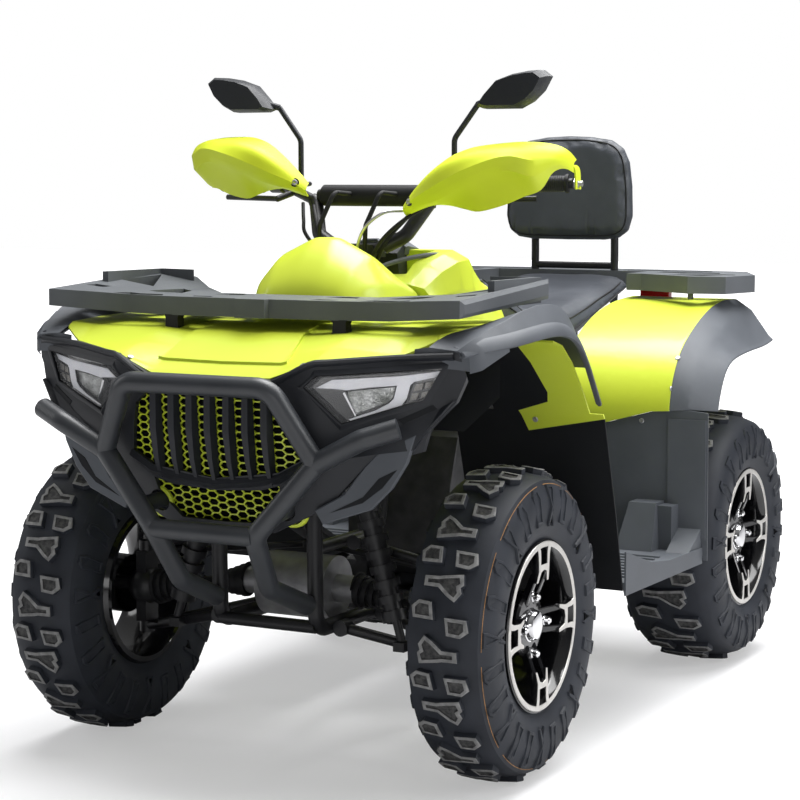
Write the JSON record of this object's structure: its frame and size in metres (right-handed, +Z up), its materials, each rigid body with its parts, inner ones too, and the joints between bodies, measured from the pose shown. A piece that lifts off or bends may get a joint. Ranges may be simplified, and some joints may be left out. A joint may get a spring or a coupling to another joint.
{
  "type": "quad bike",
  "caption": "Utility quad bike with tubular bumper, honeycomb grille, racks, hand guards, mirrors, backrest, knobby tyres; bars steer the front wheels and all wheels roll.",
  "frame": {"origin": "on the ground, at the middle of the length and width", "axes": "+X to the rider's left, -Y forward, +Z up"},
  "size_m": [1.132, 2.028, 1.402],
  "materials": {
    "frame_black": "satin black powder coat",
    "bumper_black": "matte black coat",
    "body_yellow": "glossy neon yellow-green",
    "charcoal_plastic": "fine-grained charcoal moulding",
    "nose_black": "satin black moulding",
    "lamp_clear": "clear lens over a silver reflector",
    "lamp_red": "red lens",
    "seat_vinyl": "grained black vinyl",
    "cast_alloy": "bead-blasted casting",
    "engine_grey": "plain grey casting",
    "boot_rubber": "ribbed rubber over a black shaft",
    "grip_rubber": "patterned rubber",
    "cable_black": "black sheath",
    "tyre_rubber": "worn tread rubber",
    "rim_alloy": "gloss black with machined edges",
    "mirror_black": "satin black shell",
    "guard_yellow": "satin neon yellow-green",
    "steel_dark": "black steel",
    "muffler_black": "heat-resistant black"
  },
  "bodies": {
    "chassis": {"frame_left": "frame_black", "frame_right": "frame_black", "frame_crosses": "frame_black", "frame_brackets": "frame_black", "frame_posts": "frame_black", "engine": "engine_grey", "front_differential": "cast_alloy", "rear_differential": "cast_alloy", "skid_plate": "charcoal_plastic", "front_bumper": "bumper_black", "hood": "body_yellow", "pod": "body_yellow", "tank_cover": "body_yellow", "dash": "nose_black", "fascia": "nose_black", "grille": "body_yellow", "headlamps": "lamp_clear", "front_flares": "charcoal_plastic", "knee_panels": "body_yellow", "front_mudguards": "nose_black", "footboards": "charcoal_plastic", "heel_walls": "charcoal_plastic", "rear_fenders": "body_yellow", "rear_flares": "charcoal_plastic", "seat": "seat_vinyl", "backrest_pad": "seat_vinyl", "backrest_frame": "frame_black", "front_rack": "charcoal_plastic", "rear_rack": "charcoal_plastic", "tail_lamps": "lamp_red", "muffler": "muffler_black", "tow_hitch": "frame_black", "front_arms": "frame_black", "rear_arms": "frame_black", "front_shocks": "steel_dark", "rear_shocks": "steel_dark", "front_half_shafts": "boot_rubber", "rear_half_shafts": "boot_rubber"},
    "steering": {"handlebar": "frame_black", "steering_column": "frame_black", "grips": "grip_rubber", "mirrors": "mirror_black", "handguards": "guard_yellow", "cables": "cable_black"},
    "knuckle_left": {"knuckle_left": "steel_dark"},
    "knuckle_right": {"knuckle_right": "steel_dark"},
    "tie_rod_left": {"tie_rod_left": "steel_dark"},
    "tie_rod_right": {"tie_rod_right": "steel_dark"},
    "wheel_front_left": {"rim_front_left": "rim_alloy", "tyre_front_left": "tyre_rubber"},
    "wheel_front_right": {"rim_front_right": "rim_alloy", "tyre_front_right": "tyre_rubber"},
    "wheel_rear_left": {"rim_rear_left": "rim_alloy", "tyre_rear_left": "tyre_rubber"},
    "wheel_rear_right": {"rim_rear_right": "rim_alloy", "tyre_rear_right": "tyre_rubber"}
  },
  "joints": [
    {"name": "steering", "type": "hinge", "parent": "chassis", "child": "steering", "pos_m": [0, -0.585, 0.47], "axis": [0, 0.4352, 0.9003], "range_deg": [-35, 35]},
    {"name": "kingpin_left", "type": "hinge", "parent": "chassis", "child": "knuckle_left", "pos_m": [0.385, -0.58, 0.31], "axis": [0, 0, 1], "range_deg": [-28.5, 28.5]},
    {"name": "tie_rod_left", "type": "hinge", "parent": "knuckle_left", "child": "tie_rod_left", "pos_m": [0.385, -0.495, 0.3723], "axis": [0, 0, 1], "range_deg": [-28.5, 28.5]},
    {"name": "wheel_front_left", "type": "hinge", "parent": "knuckle_left", "child": "wheel_front_left", "pos_m": [0.455, -0.58, 0.31], "axis": [1, 0, 0], "continuous": true},
    {"name": "wheel_rear_left", "type": "hinge", "parent": "chassis", "child": "wheel_rear_left", "pos_m": [0.435, 0.675, 0.31], "axis": [1, 0, 0], "continuous": true},
    {"name": "kingpin_right", "type": "hinge", "parent": "chassis", "child": "knuckle_right", "pos_m": [-0.385, -0.58, 0.31], "axis": [0, 0, 1], "range_deg": [-28.5, 28.5]},
    {"name": "tie_rod_right", "type": "hinge", "parent": "knuckle_right", "child": "tie_rod_right", "pos_m": [-0.385, -0.495, 0.3723], "axis": [0, 0, 1], "range_deg": [-28.5, 28.5]},
    {"name": "wheel_front_right", "type": "hinge", "parent": "knuckle_right", "child": "wheel_front_right", "pos_m": [-0.455, -0.58, 0.31], "axis": [1, 0, 0], "continuous": true},
    {"name": "wheel_rear_right", "type": "hinge", "parent": "chassis", "child": "wheel_rear_right", "pos_m": [-0.435, 0.675, 0.31], "axis": [1, 0, 0], "continuous": true}
  ],
  "couplings": [
    {"joint": "kingpin_left", "follows": "steering", "ratio": 0.8},
    {"joint": "tie_rod_left", "follows": "steering", "ratio": -0.8},
    {"joint": "kingpin_right", "follows": "steering", "ratio": 0.8},
    {"joint": "tie_rod_right", "follows": "steering", "ratio": -0.8}
  ]
}
